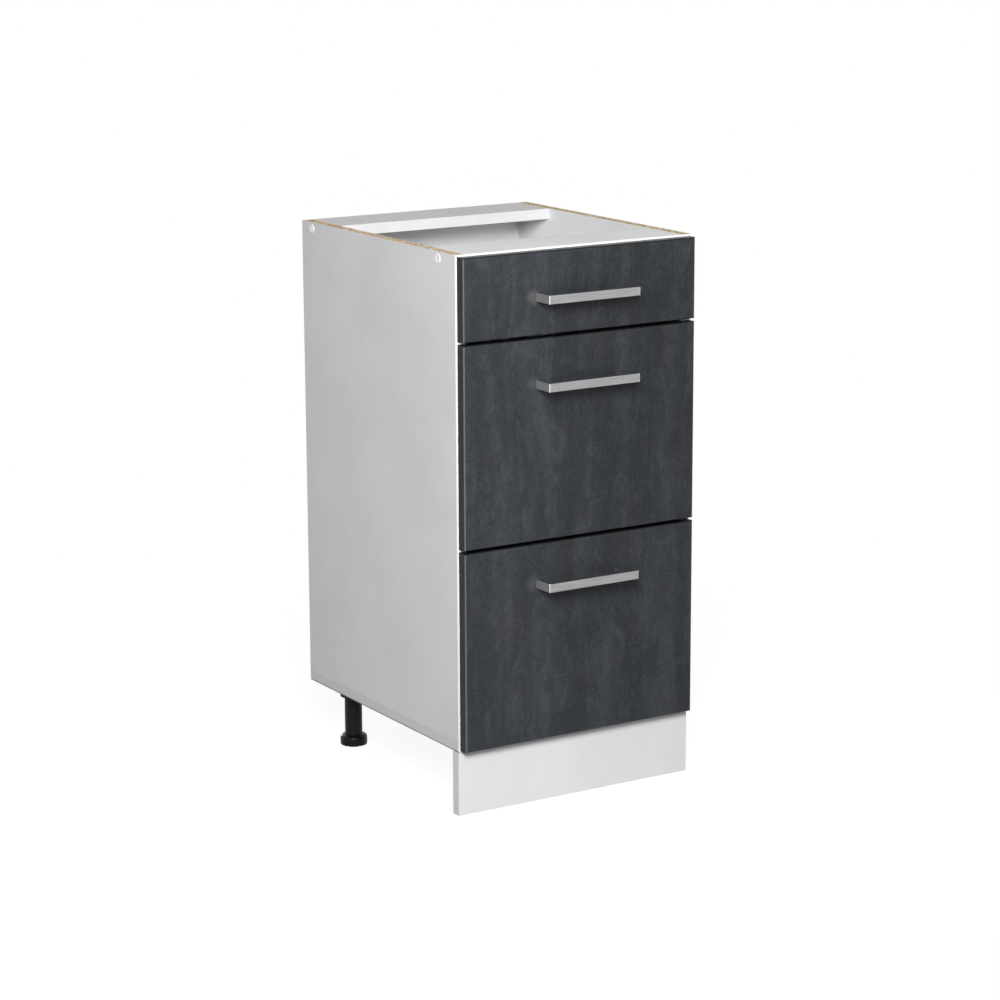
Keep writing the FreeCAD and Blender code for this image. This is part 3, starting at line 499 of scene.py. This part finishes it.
# dark fronts: a foil with long upright streaks over a clouded slate ground
darkFront = {
    "slate": shade(52, 55, 59),
    "cool": shade(49, 53, 59),
    "warm": shade(55, 56, 58),
    "deep": shade(33, 35, 38),
    "pale": shade(79, 82, 86),
    # painted shade, painted highlight, painted reflection and painted shadow of the gap towards
    # the carcass
    "shaded": shade(12, 13, 14),
    "cornerHighlight": shade(108, 110, 113),
    "handleReflection": shade(112, 114, 116),
    "gapShadow": shade(3, 3, 4),
    "streak": 12 * mm,
    "roughness": 0.36,
    "gloss": 0.15,
    "relief": 0.12 * mm,
    # how strongly each mark shows
    "shadowStrength": 0.6,
    "liftStrength": 0.42,
    "runStrength": 0.14,
    "sideShadeDeep": 0.28,
    "sideLightPale": 0.14,
    "speckDeep": 0.42,
    "shadedStrength": 0.9,
    "cornerHighlightStrength": 0.8,
    "rubAndReflectionStrength": {"top": 0.48, "middle": 0.26, "bottom": 0.26},
    # painted shade and light: the fronts grow deeper to the right and paler to the left, over this
    # far each side of the middle
    "sideShadeReach": 190 * mm,
    # the painted reflection beside a handle's left foot, and how ragged its outline is
    "reflectionAside": 5 * mm,
    "reflectionAbove": 1 * mm,
    "reflectionRagged": 24 * mm,
    "reflectionReach": 15 * mm,
    "reflectionCore": 1 * mm,
    # two distances in from an edge, between which its mask comes up
    "cornerHighlightFromSide": (2.6 * mm, 1.7 * mm),
    "cornerHighlightFromRim": (0.1 * mm, 0.7 * mm),
    "cornerHighlightFromFace": (2.6 * mm, 1.8 * mm),
    "narrowFromSide": (0.9 * mm, 0.3 * mm),
    "narrowFromEnd": (1.0 * mm, 0.4 * mm),
    "narrowFromFace": (1.4 * mm, 2.6 * mm),
    "gapShadowFromBack": (2.4 * mm, 1.6 * mm),
    "rimFromTop": (2.0 * mm, 1.2 * mm),
    "innerDepth": 0.15 * mm,
}


# a painted reflection of each handle: a pale patch on the foil beside its left foot
def handleReflections(f, colour, cloud):
    k = darkFront
    spot = f.place(scale=(1, 0, 1))
    for drawer, strength in k["rubAndReflectionStrength"].items():
        lowest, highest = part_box(f"{drawer}_drawer_handle")
        touchAndReflection = (lowest.x - k["reflectionAside"], 0, (lowest.z + highest.z) / 2 + k["reflectionAbove"])
        away = f.node("VectorMath", {"operation": "DISTANCE"}, {0: spot, 1: touchAndReflection}, "Value")
        handleReflection = f.rise(away + (cloud - 0.5) * k["reflectionRagged"], k["reflectionReach"], k["reflectionCore"])
        colour = f.mix(handleReflection * strength, colour, k["handleReflection"])
    return colour


# painted highlight where the foil turns the upright corners, and painted shade on the narrow sides
# and along the top rims;
# the edge towards the carcass is black with painted shadow of the gap, and the inner face is plain
# white
def frontEdges(f, colour):
    k = darkFront
    lowest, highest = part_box("top_drawer_front")
    across, depth, height = f.along("x").size(), f.along("y"), f.along("z")
    # painted highlight along the rounded upright corners
    cornerHighlight = f.fromEdge(across, highest.x, -1, k["cornerHighlightFromSide"])
    cornerHighlight = cornerHighlight * f.fromEdge(across, highest.x, -1, k["cornerHighlightFromRim"])
    cornerHighlight = cornerHighlight * f.fromEdge(depth, lowest.y, 1, k["cornerHighlightFromFace"])
    # painted shade on the narrow sides and ends
    narrow = f.fromEdge(across, highest.x, -1, k["narrowFromSide"])
    for drawer in drawers:
        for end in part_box(f"{drawer}_drawer_front"):
            narrow = narrow.atLeast(f.rise((height - end.z).size(), *k["narrowFromEnd"]))
    narrow = narrow * f.fromEdge(depth, lowest.y, 1, k["narrowFromFace"])
    # painted shadow in the gap towards the carcass
    gapShadow = f.fromEdge(depth, highest.y, -1, k["gapShadowFromBack"])
    colour = f.mix(narrow * k["shadedStrength"], colour, k["shaded"])
    colour = f.mix(cornerHighlight * k["cornerHighlightStrength"], colour, k["cornerHighlight"])
    colour = f.mix(gapShadow, colour, k["gapShadow"])
    # painted shade along each top rim
    for drawer in drawers:
        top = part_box(f"{drawer}_drawer_front")[1].z
        rim = f.rise((height - top).size(), *k["rimFromTop"])
        colour = f.mix(rim * k["shadedStrength"], colour, k["shaded"])
    inner = depth > highest.y - k["innerDepth"]
    return f.mix(inner, colour, whiteFace(f)[0])


def makeDarkFront():
    k = darkFront
    f = Finish("darkFront")

    # a noise drawn out upright, moved aside so that no two are alike; scale goes by the streak
    def drawnOut(upright, shift, scale, *rest):
        return f.noise(f.place(scale=(1, 1, upright), shift=shift), 1 / k["streak"] * scale, *rest)

    plank = drawnOut(0.12, (0.31, 0.2, 0.05), 0.22, 2.0, 0.5, 0.3)
    band = drawnOut(0.16, (0.05, 0, 0.4), 0.5, 5.0, 0.62, 0.7)
    cloud = drawnOut(0.55, (0.1, 0, 0.7), 0.35, 7.0, 0.7, 1.2)
    tint = drawnOut(0.3, (0.7, 0, 0.2), 0.4, 3.0, 0.5, 0.3)
    drip = drawnOut(0.1, (0.4, 0, 0.1), 0.9, 2.0, 0.4, 0.3)
    grain = drawnOut(0.06, (0, 0, 0), 9.0, 4.0, 0.6)
    speck = drawnOut(0.8, (0, 0, 0), 3.6, 4.0, 0.8)
    colour = f.ramp(tint, (0.34, k["cool"]), (0.5, k["slate"]), (0.66, k["warm"]))
    shadowed = f.rise(plank * 0.4 + cloud * 0.4 + band * 0.2, 0.55, 0.42)
    lifted = f.rise(plank * 0.25 + band * 0.3 + cloud * 0.45, 0.49, 0.62)
    run = f.rise(drip, 0.6, 0.68) * f.rise(cloud, 0.42, 0.58)
    # painted shade towards the right and painted light towards the left
    sideShade = f.rise(f.along("x"), -k["sideShadeReach"], k["sideShadeReach"])
    colour = f.mix(shadowed * k["shadowStrength"], colour, k["deep"])
    colour = f.mix(lifted * k["liftStrength"], colour, k["pale"])
    colour = f.mix(run * k["runStrength"], colour, k["pale"])
    colour = f.mix(sideShade * k["sideShadeDeep"], colour, k["deep"])
    colour = f.mix((1 - sideShade) * k["sideLightPale"], colour, k["pale"])
    colour = f.mix(f.rise(speck, 0.5, 0.68) * (band * 0.3 + 0.12), colour, k["pale"])
    colour = f.mix(f.rise(speck, 0.49, 0.34) * k["speckDeep"], colour, k["deep"])
    colour = frontEdges(f, handleReflections(f, colour, cloud))
    roughness = grain * 0.1 + cloud * 0.14 + speck * 0.08 + (k["roughness"] - 0.14)
    normal = f.bump(grain * 0.4 + speck * 0.6 + band * 0.2, 0.2, k["relief"])
    return f.surface(colour, roughness, normal, {"Specular IOR Level": k["gloss"]})


paint(makeDarkFront(), *perDrawer("drawer_front"))
print("fronts painted")


# brushed metal of the handles
brushedMetal = {
    "colour": shade(168, 168, 169),
    "shadow": shade(146, 146, 148),
    # a painted highlight along the corners at the bar's ends
    "edgeHighlight": shade(236, 236, 236),
    "cut": shade(164, 164, 164),
    "metal": 0.92,
    "cutMetal": 0.62,
    "roughness": 0.42,
    "cutRougher": 0.1,
    "drawnSmoother": 0.24,
    "edgeHighlightStrength": 0.8,
    "scratch": 0.35 * mm,
    "touchScale": 60.0,
    "relief": 0.05 * mm,
    "brokenEdge": 0.35 * mm,
    "cutDepth": 0.2 * mm,
    "drawnDepth": 0.3 * mm,
    "cornerWidth": 1.0 * mm,
    "cornerDepth": 0.7 * mm,
}


def makeBrushedMetal():
    k = brushedMetal
    f = Finish("brushedMetal")
    lines = f.noise(f.place(scale=(0.012, 1, 1)), 1 / k["scratch"], 3.0, 0.6)
    wide = f.noise(f.place(scale=(0.05, 1, 1)), 0.12 / k["scratch"], 3.0, 0.6)
    touchAndReflection = f.rise(f.noise(f.place(), k["touchScale"], 3.0, 0.6, 0.5), 0.5, 0.75)
    colour = f.mix(f.rise(lines * 0.6 + wide * 0.4, 0.35, 0.68), k["shadow"], k["colour"])
    roughness = lines * 0.16 + wide * 0.06 + touchAndReflection * 0.05 + (k["roughness"] - 0.11)
    normal = f.bump(lines + wide * 0.4, 0.12, k["relief"])
    # the two sawn ends are blasted, so that they look paler and less like a mirror
    lowest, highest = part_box("top_drawer_handle")
    across = f.along("x").size()
    cut = across > highest.x - k["cutDepth"]
    colour = f.mix(cut, colour, k["cut"])
    # painted highlight along the corners at both ends of the bar
    corner = across > highest.x - k["cornerWidth"]
    corner = corner * (f.along("y") < lowest.y + k["cornerDepth"])
    colour = f.mix(corner * k["edgeHighlightStrength"], colour, k["edgeHighlight"])
    # above and below it is drawn, not brushed, and smoother
    height = f.along("z")
    ends = [end.z for node in perDrawer("drawer_handle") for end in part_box(node)]
    drawn = sum((height - end).size() < k["drawnDepth"] for end in ends)
    roughness = roughness - drawn * k["drawnSmoother"] + cut * k["cutRougher"]
    metal = cut * (k["cutMetal"] - k["metal"]) + k["metal"]
    return f.surface(colour, roughness, normal, {"Metallic": metal})


brushed = makeBrushedMetal()
for drawer in drawers:
    softened(f"{drawer}_drawer_handle", f"bowHandle.{drawer}", f"{drawer}_drawer",
             brushed, brushedMetal["brokenEdge"])
print("handles made")


# drawer sides and runners: steel with a baked white-grey coat
coatedSteel = {
    "colour": shade(214, 215, 216),
    "thin": shade(201, 203, 205),
    "peelScale": 420.0,
    "cloudScale": 12.0,
    "rubScale": 500.0,
    "rubAndReflectionStrength": 0.22,
    "roughness": 0.42,
    "relief": 0.12 * mm,
}


def makeCoatedSteel():
    k = coatedSteel
    f = Finish("coatedSteel")
    spot = f.place()
    peel = f.noise(spot, k["peelScale"], 3.0, 0.55)
    cloud = f.noise(spot, k["cloudScale"], 4.0, 0.6)
    rub = f.rise(f.noise(f.place(scale=(1, 0.05, 1)), k["rubScale"], 3.0, 0.6), 0.6, 0.78)
    colour = f.mix(f.rise(cloud, 0.35, 0.7), k["colour"], k["thin"])
    colour = f.mix(rub * k["rubAndReflectionStrength"], colour, k["thin"])
    roughness = peel * 0.14 + cloud * 0.08 - rub * 0.06 + (k["roughness"] - 0.1)
    return f.surface(colour, roughness, f.bump(peel, 0.3, k["relief"]), {"IOR": 1.5})


paint(makeCoatedSteel(),
      *perDrawer("drawer_side_left", "drawer_side_right", "runner_left", "runner_right"))


# zinc plate of the screws, nails and angles
zincPlate = {
    "colour": shade(190, 191, 189),
    "dull": shade(150, 153, 152),
    "warm": shade(186, 182, 168),
    "spangle": 3.5 * mm,
    "spangleStrength": 0.3,
    "bloomScale": 160.0,
    "pitScale": 1800.0,
    "roughness": 0.3,
    "relief": 0.06 * mm,
}


def makeZincPlate():
    k = zincPlate
    f = Finish("zincPlate")
    spot = f.place()
    flake = f.flakes(spot, 1 / k["spangle"])
    bloom = f.noise(spot, k["bloomScale"], 4.0, 0.6, 0.4)
    pits = f.noise(spot, k["pitScale"], 2.0, 0.6)
    colour = f.mix(f.rise(bloom, 0.42, 0.66), k["colour"], k["dull"])
    colour = f.mix(flake * k["spangleStrength"], colour, k["warm"])
    roughness = flake * 0.12 + bloom * 0.2 + (k["roughness"] - 0.12)
    normal = f.bump(pits + flake * 0.2, 0.15, k["relief"])
    return f.surface(colour, roughness, normal, {"Metallic": 1.0})


paint(makeZincPlate(), "back_panel_nails", "connector_screws", "leg_socket_screws",
      "plinth_clip_screws", "runner_screws", *perDrawer("drawer_brackets", "drawer_screws"))
print("metals painted")


# moulded plastics: black legs, feet, sockets and clips, milky wheels, white caps
plastics = {
    "black": {"colour": shade(11, 11, 12), "faint": shade(22, 22, 23),
              "roughness": 0.42, "gloss": 0.14, "texture": 700.0},
    "milky": {"colour": shade(225, 223, 214), "faint": shade(211, 208, 197),
              "roughness": 0.38, "gloss": 0.5, "texture": 500.0},
    "white": {"colour": shade(252, 252, 252), "faint": shade(247, 247, 248),
              "roughness": 0.26, "gloss": 0.6, "texture": 600.0},
    "cloudScale": 30.0,
    "scratchScale": 420.0,
    "scratchStrength": 0.2,
    "relief": 0.1 * mm,
}


def makePlastic(name, kind):
    k = plastics[kind]
    f = Finish(name)
    spot = f.place()
    cloud = f.noise(spot, plastics["cloudScale"], 4.0, 0.6, 0.5)
    skin = f.noise(spot, k["texture"], 3.0, 0.6)
    slanted = f.place(scale=(1, 1, 0.12), turn=(0.3, 0.5, 0))
    scratch = f.rise(f.noise(slanted, plastics["scratchScale"], 3.0, 0.6), 0.64, 0.76)
    colour = f.mix(f.rise(cloud, 0.38, 0.68), k["colour"], k["faint"])
    colour = f.mix(scratch * plastics["scratchStrength"], colour, k["faint"])
    roughness = cloud * 0.12 + skin * 0.12 + scratch * 0.08 + (k["roughness"] - 0.12)
    normal = f.bump(skin, 0.3, plastics["relief"])
    return f.surface(colour, roughness, normal, {"Specular IOR Level": k["gloss"]})


blackPlastic = makePlastic("blackPlastic", "black")
paint(blackPlastic, "leg_sockets", "plinth_clips", *[f"leg_{corner}" for corner in corners])
paint(makePlastic("milkyPlastic", "milky"), *perDrawer("drawer_rollers", "runner_rollers"))


# round caps pressed over the upper connector screws: a shallow dish inside a rounded rim
coverCap = {
    "outline": [(0, 0.36), (1.6, 0.4), (3.2, 0.56), (4.6, 0.82), (5.6, 1.1), (6.1, 1.18),
                (6.5, 1.1), (6.75, 0.8), (6.85, 0.0)],
}


def makeCoverCaps():
    whiteCap = makePlastic("whiteCap", "white")
    lowest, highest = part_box("cover_caps")
    side = -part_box("side_panel_left")[0].x
    height = (lowest.z + highest.z) / 2
    radius = (highest.z - lowest.z) / 2
    caps = []
    for hand in (-1, 1):        # left and right side
        for depth in (lowest.y + radius, highest.y - radius):
            caps.append(turnedPiece("cap", coverCap["outline"],
                                    (hand * side, depth, height), (hand, 0, 0)))
    settle(joined("coverCaps", caps), "carcass", whiteCap, "cover_caps")


makeCoverCaps()


# adjusting feet: a round-shouldered disc with finger notches round its heel,
# and a stem up into the leg
adjustingFoot = {
    "outline": [(0, 0.3), (16.5, 0.3), (17.2, 0.03), (19.2, 0.03), (20.3, 0.5), (20.9, 1.6),
                (21, 3.2), (21, 9.2), (20.7, 9.6), (20.7, 10.1), (21, 10.5), (20.9, 12),
                (20.2, 13.7), (18.9, 15.1), (17.1, 15.8), (14.6, 16), (8, 16), (8, 60),
                (7.2, 61), (0, 61)],
    "steps": 72,
    "notches": 6,
    "firstNotch": 30,           # degrees from the unit's right
    "notchOutline": [(0, -2), (3.2, -2), (3.2, 4.6), (2.2, 5.6), (0, 5.6)],
    "notchSteps": 16,
}


def makeFoot(corner):
    k = adjustingFoot
    node = f"foot_{corner}"
    lowest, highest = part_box(node)
    centre = Vector(((lowest.x + highest.x) / 2, (lowest.y + highest.y) / 2, lowest.z))
    radius = (highest.x - lowest.x) / 2
    foot = turnedPiece(f"adjustingFoot.{corner}", k["outline"], centre, steps=k["steps"])
    cutters = []
    for step in range(k["notches"]):
        angle = math.radians(k["firstNotch"] + 360 / k["notches"] * step)
        spot = centre + Vector((math.cos(angle) * radius, math.sin(angle) * radius, 0))
        cutters.append(turnedPiece("cutter", k["notchOutline"], spot, steps=k["notchSteps"]))
    cutter = joined("cutter", cutters)
    onlySelect(foot)
    notch = foot.modifiers.new("notch", "BOOLEAN")
    notch.operation = "DIFFERENCE"
    notch.object = cutter
    bpy.ops.object.modifier_apply(modifier="notch")
    bpy.ops.object.shade_smooth_by_angle(angle=meshRules["smoothUnder"])
    bpy.data.objects.remove(cutter)
    settle(foot, node, blackPlastic, node)


for corner in corners:
    makeFoot(corner)


# beech dowels with pressed flutes
beech = {
    "wood": shade(206, 165, 118),
    "ray": shade(176, 130, 84),
    "streakScale": 500.0,
    "fleckScale": 900.0,
    "fleckStrength": 0.4,
    "roughness": 0.6,
    "relief": 0.15 * mm,
}


def makeBeech():
    k = beech
    f = Finish("beech")
    streak = f.noise(f.place(scale=(1, 1, 0.15)), k["streakScale"], 4.0, 0.6)
    fleck = f.cells(f.place(scale=(1, 1, 0.3)), k["fleckScale"])
    colour = f.mix(f.rise(streak, 0.4, 0.65), k["wood"], k["ray"])
    colour = f.mix(f.rise(fleck, 0.25, 0.1) * k["fleckStrength"], colour, k["ray"])
    roughness = streak * 0.2 + (k["roughness"] - 0.1)
    normal = f.bump(streak + fleck * 0.5, 0.4, k["relief"])
    return f.surface(colour, roughness, normal, {"IOR": 1.45})


paint(makeBeech(), "wooden_dowels")
print("plastics and dowels painted")


# the studio: pale floor, white surroundings, soft lamps
studio = {
    "floorColour": shade(112, 112, 113),
    "floorGlow": 0.9,
    "floorSize": 40.0,
    "floorSquares": 4,
    "fadeFrom": 0.5,        # metres from the middle, where the floor starts to turn white
    "fadeTo": 1.3,
    "worldLight": 0.11,
    "lamps": {
        "softFront": {"at": (0.9, -4.2, 1.5), "aim": (0, 0, 0.4), "size": 2.4, "power": 28.0},
        "keyLeft": {"at": (-1.7, -2.5, 2.0), "aim": (0, -0.1, 0.6), "size": 1.2, "power": 120.0},
        "softTop": {"at": (0.4, -1.2, 3.4), "aim": (0, 0, 0.6), "size": 2.0, "power": 4.0},
        "sideRight": {"at": (3.4, 0.7, 0.66), "aim": (0, 0, 0.45), "size": 1.2, "power": 56.0},
        "softRear": {"at": (0.35, 3.7, 0.66), "aim": (0, 0, 0.45), "size": 1.0, "power": 60.0},
    },
}


# 1 for the camera and for what shows in metal or glass, 0 for the light on the object
def seenStraight(f):
    path = f.tree.nodes.new("ShaderNodeLightPath").outputs
    rays = ("Is Camera Ray", "Is Glossy Ray", "Is Transmission Ray")
    camera, glossy, through = (Wire(f, path[name]) for name in rays)
    return camera.atLeast(glossy).atLeast(through)


def makeFloor():
    k = studio
    onlySelect()
    bpy.ops.mesh.primitive_grid_add(x_subdivisions=k["floorSquares"],
                                    y_subdivisions=k["floorSquares"], size=k["floorSize"])
    floor = bpy.context.object
    floor.name = "studioFloor"
    f = Finish("studioFloor")
    seen = seenStraight(f)
    matt = f.node("BsdfDiffuse", None, {"Color": k["floorColour"]}, "BSDF")
    glow = f.node("Emission", None, {"Strength": seen * k["floorGlow"]}, "Emission")
    near = f.node("AddShader", None, {0: matt, 1: glow})
    far = f.node("Emission", None, {"Strength": 1.0}, "Emission")
    away = f.node("VectorMath", {"operation": "LENGTH"}, {0: f.place()}, "Value")
    fade = f.rise(away, k["fadeFrom"], k["fadeTo"]) * seen
    f.finishAt("OutputMaterial", f.node("MixShader", None, {0: fade, 1: near, 2: far}))
    floor.data.materials.append(f.owner)


def makeWorld():
    world = bpy.data.worlds.new("studioWorld")
    bpy.context.scene.world = world
    f = Finish("studioWorld", world)
    seen = seenStraight(f)
    strength = seen + (1 - seen) * studio["worldLight"]
    light = f.node("Background", None, {"Color": (1, 1, 1, 1), "Strength": strength}, "Background")
    f.finishAt("OutputWorld", light)


# a lamp or a camera needs an object that holds it in the scene
def makeHolder(name, held):
    holder = bpy.data.objects.new(name, held)
    bpy.context.scene.collection.objects.link(holder)
    return holder


def makeLamps():
    for name, k in studio["lamps"].items():
        lamp = bpy.data.lights.new(name, "AREA")
        lamp.shape = "DISK"
        lamp.size = k["size"]
        lamp.energy = k["power"]
        holder = makeHolder(name, lamp)
        at = Vector(k["at"])
        holder.location = at
        holder.rotation_euler = (Vector(k["aim"]) - at).to_track_quat("-Z", "Y").to_euler()


# the camera stands to the left in front and looks a little down
viewpoint = {
    "at": (-2.3035, -3.7194, 1.4011),
    "turn": 31.717,         # degrees to the right of straight on
    "down": 12.818,
    "roll": -0.244,
    "lens": 107.37,
    "sensor": 36.0,
}


def makeCamera():
    k = viewpoint
    eye = bpy.data.cameras.new("viewpoint")
    eye.lens = k["lens"]
    eye.sensor_width = k["sensor"]
    holder = makeHolder("viewpoint", eye)
    turned = (Matrix.Rotation(-math.radians(k["turn"]), 4, "Z")
              @ Matrix.Rotation(math.radians(90 - k["down"]), 4, "X")
              @ Matrix.Rotation(math.radians(k["roll"]), 4, "Z"))
    holder.matrix_world = Matrix.Translation(k["at"]) @ turned
    bpy.context.scene.camera = holder


makeFloor()
makeWorld()
makeLamps()
makeCamera()
bpy.context.scene.view_settings.view_transform = "Standard"
print("studio set")
